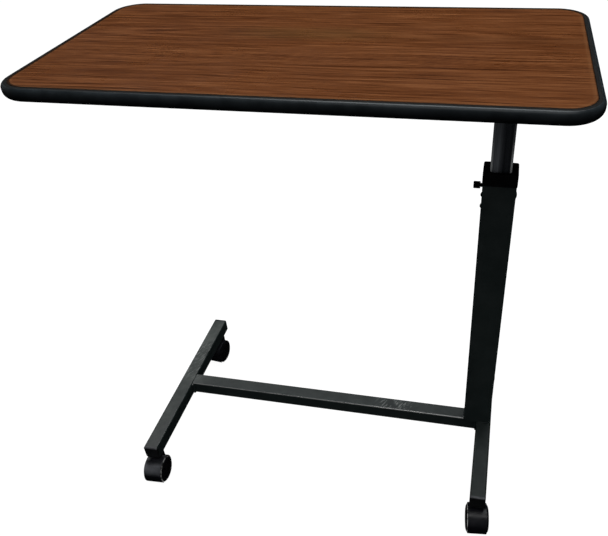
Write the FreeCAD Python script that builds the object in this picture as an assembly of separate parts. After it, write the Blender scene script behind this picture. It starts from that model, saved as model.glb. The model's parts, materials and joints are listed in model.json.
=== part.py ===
"""Overbed table: a laminate top on a height-adjustable mast, carried by an H-shaped castor base.

Units are millimetres. +X runs along the table towards the mast, +Y is away from the user and +Z is up.
The origin is on the floor, at the middle of the whole table's plan outline.
"""
import FreeCAD, Part
import math
import os

V = FreeCAD.Vector
X_AXIS = V(1, 0, 0)
Y_AXIS = V(0, 1, 0)
Z_AXIS = V(0, 0, 1)
INCH = 25.4
NEAR = 0.01

# Worktop
TOP_LENGTH = 30 * INCH
TOP_WIDTH = 15 * INCH
TOP_CORNER = 45.0
TOP_HEIGHT = 808.5
TOP_THICKNESS = 0.75 * INCH
BAND_DEPTH = 8.9
BAND_DROP = 0.1
BAND_SHOULDER = 6.5
BAND_UNDERCUT = 8.8
BAND_SEAM = 0.3
BAND_SEAM_Y = 22.0
BARB_DEPTH = 8.0
BARB_THICKNESS = 1.6
LAMINATE = 0.8
LAMINATE_BEVEL = 0.6

# Base frame of square tube
TUBE = 28.0
TUBE_WALL = 1.5
TUBE_CORNER = 3.0
LEG_TOP = 87.5
LEG_LENGTH = 379.0
LEG_X = {"left": -336.8, "right": 288.3}
CAP_THICKNESS = 4.5
CAP_ROUNDING = 2.4
CAP_PLUG_WALL = 1.6
CAP_PLUG_GAP = 0.5

# Outer column
COLUMN_X = 274.8
COLUMN_WIDTH = 50.0
COLUMN_DEPTH = 38.0
COLUMN_WALL = 1.5
COLUMN_CORNER = 3.5
COLUMN_TOP = 613.5
FOOT_PLATE = 3.0

# Inner mast and its travel between the lowest and highest table heights
MAST_WIDTH = 1.25 * INCH
MAST_DEPTH = INCH
MAST_WALL = 1.5
MAST_CORNER = 5.5
LOWEST_TOP = 28 * INCH
HIGHEST_TOP = 44 * INCH
SLIDE_GAP = 0.2
GLIDE_FLOOR = 4.5
GLIDE_RISE = 25.0
FLOOR_GAP = 1.7
STOP_GAP = 0.9

# Collar on the column top
COLLAR_PROUD = 0.8
COLLAR_TOP = 634.0
COLLAR_ROUNDING = 1.2
COLLAR_LEAD_IN = 1.3
SPIGOT_DEPTH = 19.5

# Height clamp on the left of the column
CLAMP_Z = 604.0
CLAMP_STEM_R = 3.0
CLAMP_HOLE_GAP = 0.6
CLAMP_TRAVEL = 1.5
CLAMP_MARGIN = 0.6
KNOB_R = 5.5
KNOB_LENGTH = 10.5
KNOB_STANDOFF = 3.0
KNOB_ROUNDING = 1.4
KNOB_FLUTE_R = 0.7
KNOB_FLUTE_END = 2.0
KNOB_SEAT = 8.0
PAD_R = 4.0
PAD_LENGTH = 2.45
CLAMP_NUT_FLATS = 8.0
RUNNING_GAP = 0.05

# Fixings of the guide bushing
SCREW_HEIGHTS = (587.6, 567.8)
SCREW_SHANK_R = 2.0
SCREW_HEAD_R = 3.9
SCREW_HEAD_RISE = 2.1
SCREW_BITE = 7.0
SCREW_RECESS = 0.8
BUTTON_Z = 590.5
BUTTON_R = 7.0
BUTTON_RISE = 1.9
BUTTON_SHANK_R = 3.0
BUTTON_BITE = 6.5

# Support frame under the worktop
RAIL = 20.0
RAIL_WALL = 1.5
RAIL_CORNER = 2.0
RAIL_Y = 95.0
RAIL_START = -270.0
RAIL_END = 335.0
PLATE_THICKNESS = 4.0
PLATE_LENGTH = 90.0
PLATE_WIDTH = 236.0
PLATE_CORNER = 10.0
BOLT_R = 3.0
BOLT_SPACING = 60.0
BOLT_REACH = 12.0
BOLT_FLATS = 10.0
BOLT_HEAD = 4.0
NUT_HEIGHT = 5.0
PLUG_LENGTH = 9.0
PLUG_HEAD = 1.5
RAIL_SCREW_XS = (-240.0, -80.0, 80.0, 180.0)
RAIL_SCREW_BITE = 12.0
RAIL_HOLE_GAP = 0.3

# Castors
WHEEL_R = 25.0
WHEEL_INNER_X = 2.4
WHEEL_TREAD_X = 17.2
WHEEL_BEVEL_X = 19.0
WHEEL_BEVEL_R = 22.4
WHEEL_OUTER_X = 20.2
WHEEL_EASE = 1.0
FACE_BULGE = 0.25
DISH_R = 15.8
DISH_DEPTH = 1.6
DISH_CROWN = 1.1
HUB_CAP_R = 8.0
TRAIL = 19.0
CASTOR_INSET = 21.1
HOOD_R = 26.8
HOOD_CLEARANCE = 0.5
HOOD_HALF_WIDTH = 17.0
HOOD_ROUNDING = 0.9
HOOD_WEB = 3.6
HOOD_WEB_DROP = 9.0
HOOD_LIP_FRONT = 40.0
HOOD_LIP_REAR = 20.0
BOSS_R = 10.0
BOSS_BASE = 36.0
STEM_R = 5.0
STEM_FOOT = 48.5
STEM_TIP = 81.0
STEM_CHAMFER = 1.0
RING_GROOVE = (76.0, 78.0)
RING_DEPTH = 0.8
SHOULDER_R = 8.0
SHOULDER_RISE = 1.4
THRUST_GAP = 0.2
SOCKET_R = 7.5
SOCKET_TOP = 84.0
FLANGE_R = 10.0
FLANGE_RISE = 1.4
AXLE_R = 4.0
AXLE_HALF = 14.8
HUB_DEPTH = 15.2
CASTOR_TURN = {"front_left": 3.0, "front_right": 6.0, "rear_left": -6.0, "rear_right": -20.0}

# Derived levels and positions
LEG_BOTTOM = LEG_TOP - TUBE
LEG_MID = LEG_TOP - TUBE / 2
TOP_UNDERSIDE = TOP_HEIGHT - TOP_THICKNESS
RAIL_BOTTOM = TOP_UNDERSIDE - RAIL
PLATE_BOTTOM = RAIL_BOTTOM - PLATE_THICKNESS
CASTOR_REACH = LEG_LENGTH / 2 - CASTOR_INSET
HOOD_TURN = math.radians(CASTOR_TURN["front_right"])
HOOD_REACH = (HOOD_ROUNDING + (TRAIL + HOOD_R - HOOD_ROUNDING) * math.cos(HOOD_TURN)
              + (HOOD_HALF_WIDTH - HOOD_ROUNDING) * math.sin(HOOD_TURN))
CENTRE_Y = (CASTOR_REACH + HOOD_REACH - TOP_WIDTH / 2) / 2
COLUMN_FACE = COLUMN_X - COLUMN_WIDTH / 2
COLUMN_FOOT = LEG_TOP + FOOT_PLATE
MAST_FOOT = COLUMN_FOOT + FLOOR_GAP + GLIDE_FLOOR + TOP_HEIGHT - LOWEST_TOP
MAST_FACE = COLUMN_X - MAST_WIDTH / 2
NUT_FACE = COLUMN_FACE + COLUMN_WALL
NUT_LENGTH = MAST_FACE - PAD_LENGTH - CLAMP_TRAVEL - CLAMP_MARGIN - NUT_FACE
SHOULDER_TOP = LEG_BOTTOM - FLANGE_RISE - THRUST_GAP
BUSHING_TOP = COLUMN_TOP - SPIGOT_DEPTH
GLIDE_BOTTOM = MAST_FOOT - GLIDE_FLOOR
GLIDE_TOP = MAST_FOOT + GLIDE_RISE
BUSHING_BOTTOM = GLIDE_TOP + (HIGHEST_TOP - TOP_HEIGHT) + STOP_GAP


def bar(width, depth, length, corner):
    """Upright bar centred on the Z axis, with its four long edges rounded."""
    solid = Part.makeBox(width, depth, length, V(-width / 2, -depth / 2, 0))
    uprights = [edge for edge in solid.Edges if abs(edge.tangentAt(edge.FirstParameter).z) > 0.9]
    return solid.makeFillet(corner, uprights)


def tube(width, depth, length, wall, corner):
    """Upright rectangular tube centred on the Z axis."""
    bore = bar(width - 2 * wall, depth - 2 * wall, length, max(corner - wall, 0.5))
    return bar(width, depth, length, corner).cut(bore)


def moved(shape, x=0.0, y=0.0, z=0.0):
    shape = shape.copy()
    shape.translate(V(x, y, z))
    return shape


def turned(shape, axis, degrees, centre=V(0, 0, 0)):
    shape = shape.copy()
    shape.rotate(centre, axis, degrees)
    return shape


def rod(radius, start, end):
    """Round rod from the point start to the point end."""
    span = end - start
    return Part.makeCylinder(radius, span.Length, start, span)


def dome_radius(half_width, rise):
    """Sphere radius of a shallow dome with the given half width and rise."""
    return (half_width * half_width + rise * rise) / (2 * rise)


def flat_at(edge, height):
    """Whether an edge lies in the horizontal plane at the given height."""
    box = edge.BoundBox
    return abs(box.ZMin - height) < NEAR and abs(box.ZMax - height) < NEAR


def joined(shapes):
    """Fuse touching shapes into one clean solid."""
    return shapes[0].multiFuse(shapes[1:]).removeSplitter()


def save(name, shape):
    shape.exportStep("parts/" + name + ".step")


# Worktop ------------------------------------------------------------------------------------------

def slab(inset, bottom, top):
    """Rounded-corner slab with the worktop's outline, set in by the given distance."""
    outline = bar(TOP_LENGTH - 2 * inset, TOP_WIDTH - 2 * inset, top - bottom, TOP_CORNER - inset)
    return moved(outline, 0, CENTRE_Y, bottom)


def rail_screw_points():
    """Axis points of the worktop screws, at the rails' underside."""
    sides = (-RAIL_Y, RAIL_Y)
    return [V(x, CENTRE_Y + side, RAIL_BOTTOM) for side in sides for x in RAIL_SCREW_XS]


def barb():
    """Tongue of the edge band, which is pressed into a slot round the board's edge."""
    middle = TOP_UNDERSIDE + TOP_THICKNESS / 2
    low = middle - BARB_THICKNESS / 2
    high = middle + BARB_THICKNESS / 2
    return slab(BAND_DEPTH, low, high).cut(slab(BAND_DEPTH + BARB_DEPTH, low, high))


def edge_band():
    """Rounded bumper edging, open by a hair at the seam where its two ends meet."""
    rounded = slab(0, TOP_UNDERSIDE, TOP_HEIGHT - BAND_DROP)
    for height, radius in ((TOP_HEIGHT - BAND_DROP, BAND_SHOULDER), (TOP_UNDERSIDE, BAND_UNDERCUT)):
        rim = [edge for edge in rounded.Edges if flat_at(edge, height)]
        rounded = rounded.makeFillet(radius, rim)
    ring = joined([rounded.cut(slab(BAND_DEPTH, TOP_UNDERSIDE, TOP_HEIGHT)), barb()])
    seam = V(TOP_LENGTH / 2 - BAND_DEPTH - BARB_DEPTH, CENTRE_Y + BAND_SEAM_Y, TOP_UNDERSIDE)
    return ring.cut(Part.makeBox(BAND_DEPTH + BARB_DEPTH, BAND_SEAM, TOP_THICKNESS, seam))


def board_core():
    core = slab(BAND_DEPTH, TOP_UNDERSIDE + LAMINATE, TOP_HEIGHT - LAMINATE).cut(barb())
    for point in rail_screw_points():
        core = core.cut(rod(SCREW_SHANK_R, point, V(point.x, point.y, TOP_UNDERSIDE + RAIL_SCREW_BITE)))
    return core


def walnut_laminate():
    sheet = slab(BAND_DEPTH, TOP_HEIGHT - LAMINATE, TOP_HEIGHT)
    rim = [edge for edge in sheet.Edges if flat_at(edge, TOP_HEIGHT)]
    return sheet.makeChamfer(LAMINATE_BEVEL, rim)


def backing_sheet():
    sheet = slab(BAND_DEPTH, TOP_UNDERSIDE, TOP_UNDERSIDE + LAMINATE)
    for point in rail_screw_points():
        sheet = sheet.cut(rod(SCREW_SHANK_R, point, V(point.x, point.y, TOP_HEIGHT)))
    return sheet


# Support frame under the worktop ------------------------------------------------------------------

def bracket_bolt_points():
    """Axis points of the bolts that hold the head plate to the rails, at the plate's underside."""
    points = []
    for side in (-RAIL_Y, RAIL_Y):
        for offset in (-BOLT_SPACING / 2, BOLT_SPACING / 2):
            points.append(V(COLUMN_X + offset, CENTRE_Y + side, PLATE_BOTTOM))
    return points


def support_rail(side):
    rail = tube(RAIL, RAIL, RAIL_END - RAIL_START, RAIL_WALL, RAIL_CORNER)
    rail = moved(turned(rail, Y_AXIS, 90), RAIL_START, CENTRE_Y + side * RAIL_Y, RAIL_BOTTOM + RAIL / 2)
    for point in rail_screw_points():
        rail = rail.cut(rod(SCREW_SHANK_R + RAIL_HOLE_GAP, point, V(point.x, point.y, TOP_UNDERSIDE)))
    for point in bracket_bolt_points():
        rail = rail.cut(rod(BOLT_R, point, V(point.x, point.y, RAIL_BOTTOM + RAIL_WALL)))
    return rail


def rail_end_plugs():
    """Four plugs that close the rails' open ends."""
    inside = RAIL - 2 * RAIL_WALL
    plugs = []
    for side in (-RAIL_Y, RAIL_Y):
        for end, inward in ((RAIL_START, 1), (RAIL_END, -1)):
            plug = turned(bar(inside, inside, PLUG_LENGTH, RAIL_CORNER - RAIL_WALL), Y_AXIS, 90 * inward)
            head = turned(bar(RAIL, RAIL, PLUG_HEAD, RAIL_CORNER), Y_AXIS, -90 * inward)
            pair = joined([plug, head])
            plugs.append(moved(pair, end, CENTRE_Y + side, RAIL_BOTTOM + RAIL / 2))
    return Part.makeCompound(plugs)


def mast_head_plate():
    plate = bar(PLATE_LENGTH, PLATE_WIDTH, PLATE_THICKNESS, PLATE_CORNER)
    plate = moved(plate, COLUMN_X, CENTRE_Y, PLATE_BOTTOM)
    for point in bracket_bolt_points():
        plate = plate.cut(rod(BOLT_R, point, point + V(0, 0, PLATE_THICKNESS)))
    return plate


def hexagon(across_flats, height):
    """Upright hexagonal prism on the Z axis."""
    radius = across_flats / math.sqrt(3)
    corners = [V(radius * math.cos(math.radians(60 * k)), radius * math.sin(math.radians(60 * k)), 0)
               for k in range(7)]
    return Part.Face(Part.makePolygon(corners)).extrude(V(0, 0, height))


def bracket_bolts():
    """Hexagon-head bolts through the head plate into the rails."""
    bolts = []
    for point in bracket_bolt_points():
        head = moved(hexagon(BOLT_FLATS, BOLT_HEAD), point.x, point.y, point.z - BOLT_HEAD)
        bolts.append(joined([head, rod(BOLT_R, point, point + V(0, 0, BOLT_REACH))]))
    return Part.makeCompound(bolts)


def bracket_nuts():
    """Hexagon nuts inside the rails, on the bracket bolts."""
    nut = hexagon(BOLT_FLATS, NUT_HEIGHT).cut(Part.makeCylinder(BOLT_R, NUT_HEIGHT))
    seat = RAIL_BOTTOM + RAIL_WALL
    return Part.makeCompound([moved(nut, point.x, point.y, seat) for point in bracket_bolt_points()])


def pan_head(radius, rise):
    """Domed screw head on the Z axis, its flat seat at z = 0 and a cross recess in its crown."""
    sphere_r = dome_radius(radius, rise)
    ball = Part.makeSphere(sphere_r, V(0, 0, rise - sphere_r))
    dome = ball.common(Part.makeCylinder(radius, rise))
    for turn in (0, 90):
        corner = V(-radius / 2, -SCREW_RECESS / 2, rise - SCREW_RECESS)
        slot = Part.makeBox(radius, SCREW_RECESS, SCREW_RECESS, corner)
        dome = dome.cut(turned(slot, Z_AXIS, turn))
    return dome


def rail_screws():
    """Pan-head wood screws up through both rails into the board."""
    screws = []
    for point in rail_screw_points():
        head = turned(pan_head(SCREW_HEAD_R, SCREW_HEAD_RISE), X_AXIS, 180)
        shank = rod(SCREW_SHANK_R, V(0, 0, 0), V(0, 0, RAIL + RAIL_SCREW_BITE))
        screws.append(moved(joined([head, shank]), point.x, point.y, point.z))
    return Part.makeCompound(screws)


# Mast and column ----------------------------------------------------------------------------------

def on_column(shape, z):
    """Move a shape made on the Z axis to the column's axis."""
    return moved(shape, COLUMN_X, CENTRE_Y, z)


def mast_passage(bottom, top):
    """Clearance space for the mast between two levels."""
    width = MAST_WIDTH + 2 * SLIDE_GAP
    depth = MAST_DEPTH + 2 * SLIDE_GAP
    return on_column(bar(width, depth, top - bottom, MAST_CORNER), bottom)


def column_filling(bottom, top, gap=0.0):
    """Block that fills the column's bore between two levels."""
    width = COLUMN_WIDTH - 2 * COLUMN_WALL - 2 * gap
    depth = COLUMN_DEPTH - 2 * COLUMN_WALL - 2 * gap
    return on_column(bar(width, depth, top - bottom, COLUMN_CORNER - COLUMN_WALL), bottom)


def inner_mast():
    length = PLATE_BOTTOM - MAST_FOOT
    return on_column(tube(MAST_WIDTH, MAST_DEPTH, length, MAST_WALL, MAST_CORNER), MAST_FOOT)


def mast_foot_glide():
    """Shoe on the mast's foot that slides in the column and stops the mast at both ends."""
    seat = on_column(bar(MAST_WIDTH, MAST_DEPTH, GLIDE_RISE, MAST_CORNER), MAST_FOOT)
    return column_filling(GLIDE_BOTTOM, GLIDE_TOP, SLIDE_GAP).cut(seat)


def guide_bushing():
    block = column_filling(BUSHING_BOTTOM, BUSHING_TOP).cut(mast_passage(BUSHING_BOTTOM, BUSHING_TOP))
    for hole in screw_shanks() + [button_shank()]:
        block = block.cut(hole)
    return block


def screw_shanks():
    """Shanks of the two screws in the column's left side."""
    starts = [V(COLUMN_FACE, CENTRE_Y, z) for z in SCREW_HEIGHTS]
    return [rod(SCREW_SHANK_R, start, start + V(SCREW_BITE, 0, 0)) for start in starts]


def bushing_screws():
    screws = []
    for shank, z in zip(screw_shanks(), SCREW_HEIGHTS):
        head = turned(pan_head(SCREW_HEAD_R, SCREW_HEAD_RISE), Y_AXIS, -90)
        screws.append(joined([moved(head, COLUMN_FACE, CENTRE_Y, z), shank]))
    return Part.makeCompound(screws)


def button_shank():
    face = V(COLUMN_X + COLUMN_WIDTH / 2, CENTRE_Y, BUTTON_Z)
    return rod(BUTTON_SHANK_R, face, face - V(BUTTON_BITE, 0, 0))


def glide_button():
    """Domed button in the column's right side that locates the guide bushing."""
    sphere_r = dome_radius(BUTTON_R, BUTTON_RISE)
    face = COLUMN_X + COLUMN_WIDTH / 2
    ball = Part.makeSphere(sphere_r, V(face + BUTTON_RISE - sphere_r, CENTRE_Y, BUTTON_Z))
    disc = Part.makeCylinder(BUTTON_R, BUTTON_RISE, V(face, CENTRE_Y, BUTTON_Z), X_AXIS)
    return joined([ball.common(disc), button_shank()])


def column_foot_plate():
    """Plate that closes the column's foot, where it stands on the leg and the bar."""
    return on_column(bar(COLUMN_WIDTH, COLUMN_DEPTH, FOOT_PLATE, COLUMN_CORNER), LEG_TOP)


def outer_column():
    length = COLUMN_TOP - COLUMN_FOOT
    column = on_column(tube(COLUMN_WIDTH, COLUMN_DEPTH, length, COLUMN_WALL, COLUMN_CORNER), COLUMN_FOOT)
    clamp_hole = rod(CLAMP_STEM_R + CLAMP_HOLE_GAP, clamp_point(COLUMN_FACE - 1), clamp_point(COLUMN_X))
    for hole in screw_shanks() + [button_shank(), clamp_hole]:
        column = column.cut(hole)
    return column


def mast_lead_in():
    """Bevelled widening of the collar's opening at its top."""
    wires = []
    for spread, z in ((0, COLLAR_TOP - COLLAR_LEAD_IN), (COLLAR_LEAD_IN, COLLAR_TOP)):
        width = MAST_WIDTH + 2 * (SLIDE_GAP + spread)
        depth = MAST_DEPTH + 2 * (SLIDE_GAP + spread)
        outline = bar(width, depth, 1, MAST_CORNER + spread)
        base = min(outline.Faces, key=lambda face: face.CenterOfMass.z)
        wires.append(on_column(base.OuterWire, z))
    return Part.makeLoft(wires, True)


def column_collar():
    """Flat-topped collar: spigot in the column, slide bore for the mast, seat for the clamp nut."""
    width = COLUMN_WIDTH + 2 * COLLAR_PROUD
    depth = COLUMN_DEPTH + 2 * COLLAR_PROUD
    height = COLLAR_TOP - COLUMN_TOP
    head = bar(width, depth, height, COLUMN_CORNER)
    rims = [edge for edge in head.Edges if flat_at(edge, height)]
    head = on_column(head.makeFillet(COLLAR_ROUNDING, rims), COLUMN_TOP)
    collar = joined([head, column_filling(BUSHING_TOP, COLUMN_TOP)])
    pad_bore = rod(PAD_R + RUNNING_GAP, clamp_point(NUT_FACE), clamp_point(COLUMN_X))
    for space in (mast_passage(BUSHING_TOP, COLLAR_TOP), mast_lead_in(), clamp_nut_blank(), pad_bore):
        collar = collar.cut(space)
    return collar


# Height clamp -------------------------------------------------------------------------------------

def clamp_point(x):
    """Point on the clamp screw's axis."""
    return V(x, CENTRE_Y, CLAMP_Z)


def clamp_nut_blank():
    nut = turned(hexagon(CLAMP_NUT_FLATS, NUT_LENGTH), Y_AXIS, 90)
    return moved(nut, NUT_FACE, CENTRE_Y, CLAMP_Z)


def clamp_nut():
    bore = rod(CLAMP_STEM_R + RUNNING_GAP, clamp_point(NUT_FACE), clamp_point(NUT_FACE + NUT_LENGTH))
    return clamp_nut_blank().cut(bore)


def clamp_pad():
    """Nylon pad that the clamp screw presses on the mast."""
    face = MAST_FACE - RUNNING_GAP
    return rod(PAD_R, clamp_point(face - PAD_LENGTH), clamp_point(face))


def clamp_stem():
    knob_end = COLUMN_FACE - KNOB_STANDOFF - KNOB_LENGTH
    tip = MAST_FACE - PAD_LENGTH - 2 * RUNNING_GAP
    return rod(CLAMP_STEM_R, clamp_point(knob_end + KNOB_LENGTH - KNOB_SEAT), clamp_point(tip))


def clamp_knob():
    """Small round knob with a domed end and fine grip flutes."""
    outer = COLUMN_FACE - KNOB_STANDOFF - KNOB_LENGTH
    body = rod(KNOB_R, clamp_point(outer), clamp_point(outer + KNOB_LENGTH))
    rims = [edge for edge in body.Edges if abs(edge.tangentAt(edge.FirstParameter).x) < 0.1]
    body = body.makeFillet(KNOB_ROUNDING, rims)
    lift = V(0, 0, KNOB_R + KNOB_FLUTE_R / 3)
    flute_start = clamp_point(outer + KNOB_FLUTE_END) + lift
    flute_end = clamp_point(outer + KNOB_LENGTH - KNOB_FLUTE_END) + lift
    flute = rod(KNOB_FLUTE_R, flute_start, flute_end)
    for turn in range(0, 360, 30):
        body = body.cut(turned(flute, X_AXIS, turn, clamp_point(0)))
    return body.cut(clamp_stem())


# Base frame ---------------------------------------------------------------------------------------

def castor_point(end, side):
    """Swivel axis of a castor, at floor level."""
    y = CENTRE_Y + (-CASTOR_REACH if end == "front" else CASTOR_REACH)
    return V(LEG_X[side], y, 0)


def cross_leg(side):
    length = LEG_LENGTH - 2 * CAP_THICKNESS
    leg = turned(tube(TUBE, TUBE, length, TUBE_WALL, TUBE_CORNER), X_AXIS, -90)
    leg = moved(leg, LEG_X[side], CENTRE_Y - length / 2, LEG_MID)
    for end in ("front", "rear"):
        foot = castor_point(end, side)
        leg = leg.cut(rod(SOCKET_R, V(foot.x, foot.y, LEG_BOTTOM - 1), V(foot.x, foot.y, LEG_MID)))
    return leg


def base_bar():
    start = LEG_X["left"] + TUBE / 2
    end = LEG_X["right"] - TUBE / 2
    length = end - start
    tubing = turned(tube(TUBE, TUBE, length, TUBE_WALL, TUBE_CORNER), Y_AXIS, 90)
    return moved(tubing, start, CENTRE_Y, LEG_MID)


def leg_end_cap(end, side):
    """Plug with a domed head that closes one end of a cross leg, ahead of the castor socket."""
    inside = TUBE - 2 * TUBE_WALL
    head = bar(TUBE, TUBE, CAP_THICKNESS, TUBE_CORNER)
    rims = [edge for edge in head.Edges if flat_at(edge, CAP_THICKNESS)]
    head = head.makeFillet(CAP_ROUNDING, rims)
    reach = CASTOR_INSET - CAP_THICKNESS - SOCKET_R - CAP_PLUG_GAP
    plug = moved(tube(inside, inside, reach, CAP_PLUG_WALL, TUBE_CORNER - TUBE_WALL), 0, 0, -reach)
    cap = turned(joined([head, plug]), X_AXIS, 90 if end == "front" else -90)
    reach_y = LEG_LENGTH / 2 - CAP_THICKNESS
    return moved(cap, LEG_X[side], CENTRE_Y + (-reach_y if end == "front" else reach_y), LEG_MID)


# Castors ------------------------------------------------------------------------------------------
# Each castor is made with its swivel axis on the Z axis and its wheels trailing towards -Y.

def across_wheels(radius, half_width):
    """Cylinder about the wheels' axis, centred on the castor's middle plane."""
    return Part.makeCylinder(radius, 2 * half_width, V(-half_width, -TRAIL, WHEEL_R), X_AXIS)


def lip_ray(degrees, towards):
    """Point far outside the hood, below the axle by the given angle, in front (-1) or behind (1)."""
    reach = 2 * HOOD_R
    angle = math.radians(degrees)
    return V(0, towards * reach * math.cos(angle), -reach * math.sin(angle))


def hood_arc():
    """Curved cover over the wheels' treads, open towards the floor."""
    shell = across_wheels(HOOD_R, HOOD_HALF_WIDTH)
    rims = [edge for edge in shell.Edges if edge.Length > 2 * HOOD_R]
    wheel_space = across_wheels(WHEEL_R + HOOD_CLEARANCE, HOOD_HALF_WIDTH)
    shell = shell.makeFillet(HOOD_ROUNDING, rims).cut(wheel_space)
    front = lip_ray(HOOD_LIP_FRONT, -1)
    rear = lip_ray(HOOD_LIP_REAR, 1)
    low = V(0, 0, -2 * HOOD_R)
    axle = V(0, 0, 0)
    fan = Part.Face(Part.makePolygon([axle, front, front + low, rear + low, rear, axle]))
    opening = fan.extrude(V(2 * HOOD_HALF_WIDTH, 0, 0))
    return shell.cut(moved(opening, -HOOD_HALF_WIDTH, -TRAIL, WHEEL_R))


def hood_web():
    """Plate between the two wheels that carries the axle."""
    disc = across_wheels(HOOD_R - HOOD_ROUNDING, HOOD_WEB / 2)
    corner = V(-HOOD_WEB / 2, -TRAIL - HOOD_R, WHEEL_R - HOOD_WEB_DROP - HOOD_R)
    below = Part.makeBox(HOOD_WEB, 2 * HOOD_R, HOOD_R, corner)
    return disc.cut(below).cut(across_wheels(AXLE_R, HOOD_WEB))


def hood_boss():
    """Neck that holds the stem, with a saddle that runs from it over the wheels."""
    neck_top = SHOULDER_TOP - SHOULDER_RISE
    neck = Part.makeCylinder(BOSS_R, neck_top - BOSS_BASE, V(0, 0, BOSS_BASE))
    saddle_height = WHEEL_R + HOOD_R - HOOD_ROUNDING / 2 - BOSS_BASE
    saddle = Part.makeBox(2 * BOSS_R, TRAIL, saddle_height, V(-BOSS_R, -TRAIL, BOSS_BASE))
    return joined([neck, saddle]).cut(across_wheels(WHEEL_R + HOOD_CLEARANCE, HOOD_HALF_WIDTH))


def castor_hood():
    hood = joined([hood_arc(), hood_web(), hood_boss()])
    return hood.cut(castor_stem())


def castor_stem():
    """Steel stem with a thrust shoulder and a grip-ring groove."""
    stem = rod(STEM_R, V(0, 0, STEM_FOOT), V(0, 0, STEM_TIP))
    tip = [edge for edge in stem.Edges if flat_at(edge, STEM_TIP)]
    stem = stem.makeChamfer(STEM_CHAMFER, tip)
    low, high = [V(0, 0, z) for z in RING_GROOVE]
    groove = rod(STEM_R, low, high).cut(rod(STEM_R - RING_DEPTH, low, high))
    shoulder = rod(SHOULDER_R, V(0, 0, SHOULDER_TOP - SHOULDER_RISE), V(0, 0, SHOULDER_TOP))
    return joined([stem.cut(groove), shoulder])


def castor_socket():
    """Flanged sleeve pressed into the leg, in which the stem turns."""
    sleeve = rod(SOCKET_R, V(0, 0, LEG_BOTTOM), V(0, 0, SOCKET_TOP))
    flange = rod(FLANGE_R, V(0, 0, LEG_BOTTOM - FLANGE_RISE), V(0, 0, LEG_BOTTOM))
    bore = rod(STEM_R + RUNNING_GAP, V(0, 0, LEG_BOTTOM - FLANGE_RISE), V(0, 0, STEM_TIP + 1))
    return joined([sleeve, flange]).cut(bore)


def castor_axle():
    return across_wheels(AXLE_R, AXLE_HALF)


def castor_wheel(hand):
    """One wheel, turned about X: tread, bevelled rim, domed and dished outer face, blind axle bore."""
    bore = AXLE_R + RUNNING_GAP
    dish_x = WHEEL_OUTER_X - DISH_DEPTH
    crown_x = dish_x + DISH_CROWN
    bevel = V(WHEEL_BEVEL_X, 0, WHEEL_BEVEL_R)
    lip = V(WHEEL_OUTER_X, 0, DISH_R + DISH_DEPTH)
    face_middle = (bevel + lip) * 0.5 + V(FACE_BULGE, 0, 0)
    hub_cap = V(dish_x, 0, HUB_CAP_R)
    crown = V(crown_x, 0, 0)
    cap_sphere_r = dome_radius(HUB_CAP_R, DISH_CROWN)
    cap_mid_x = crown_x - cap_sphere_r + math.sqrt(cap_sphere_r ** 2 - (HUB_CAP_R / 2) ** 2)
    outline = [
        V(HUB_DEPTH, 0, bore),
        V(WHEEL_INNER_X, 0, bore),
        V(WHEEL_INNER_X, 0, WHEEL_R - WHEEL_EASE),
        V(WHEEL_INNER_X + WHEEL_EASE, 0, WHEEL_R),
        V(WHEEL_TREAD_X, 0, WHEEL_R),
        bevel,
    ]
    edges = [Part.LineSegment(start, end) for start, end in zip(outline, outline[1:])]
    edges += [
        Part.Arc(bevel, face_middle, lip),
        Part.LineSegment(lip, V(dish_x, 0, DISH_R)),
        Part.LineSegment(V(dish_x, 0, DISH_R), hub_cap),
        Part.Arc(hub_cap, V(cap_mid_x, 0, HUB_CAP_R / 2), crown),
        Part.LineSegment(crown, V(HUB_DEPTH, 0, 0)),
        Part.LineSegment(V(HUB_DEPTH, 0, 0), V(HUB_DEPTH, 0, bore)),
    ]
    profile = Part.Face(Part.Wire([edge.toShape() for edge in edges]))
    wheel = profile.revolve(V(0, 0, 0), X_AXIS, 360)
    if hand == "left":
        wheel = wheel.mirror(V(0, 0, 0), X_AXIS)
    return moved(wheel, 0, -TRAIL, WHEEL_R)


def place_castor(shape, corner):
    """Turn a castor piece about its swivel axis and move it under its leg end."""
    end, side = corner.split("_")
    foot = castor_point(end, side)
    return moved(turned(shape, Z_AXIS, CASTOR_TURN[corner]), foot.x, foot.y, 0)


def save_castors():
    pieces = {
        "stem": castor_stem(),
        "hood": castor_hood(),
        "axle": castor_axle(),
        "wheel_left": castor_wheel("left"),
        "wheel_right": castor_wheel("right"),
        "socket": castor_socket(),
    }
    for corner in CASTOR_TURN:
        for piece, shape in pieces.items():
            save(corner + "_castor_" + piece, place_castor(shape, corner))


def save_base():
    for side in ("left", "right"):
        save(side + "_cross_leg", cross_leg(side))
        for end in ("front", "rear"):
            save(end + "_" + side + "_leg_cap", leg_end_cap(end, side))
    save("base_bar", base_bar())
    save("column_foot_plate", column_foot_plate())
    save("outer_column", outer_column())
    save("column_collar", column_collar())
    save("guide_bushing", guide_bushing())
    save("bushing_screws", bushing_screws())
    save("glide_button", glide_button())
    save("clamp_nut", clamp_nut())
    save("clamp_pad", clamp_pad())
    save("clamp_stem", clamp_stem())
    save("clamp_knob", clamp_knob())


def save_top():
    save("inner_mast", inner_mast())
    save("mast_foot_glide", mast_foot_glide())
    save("mast_head_plate", mast_head_plate())
    save("bracket_bolts", bracket_bolts())
    save("bracket_nuts", bracket_nuts())
    save("front_support_rail", support_rail(-1))
    save("rear_support_rail", support_rail(1))
    save("rail_end_plugs", rail_end_plugs())
    save("rail_screws", rail_screws())
    save("board_core", board_core())
    save("walnut_laminate", walnut_laminate())
    save("backing_sheet", backing_sheet())
    save("edge_band", edge_band())


os.makedirs("parts", exist_ok=True)
save_base()
save_top()
save_castors()
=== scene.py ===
"""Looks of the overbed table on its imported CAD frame. Metres, +Z up, the frame's own axes."""

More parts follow.
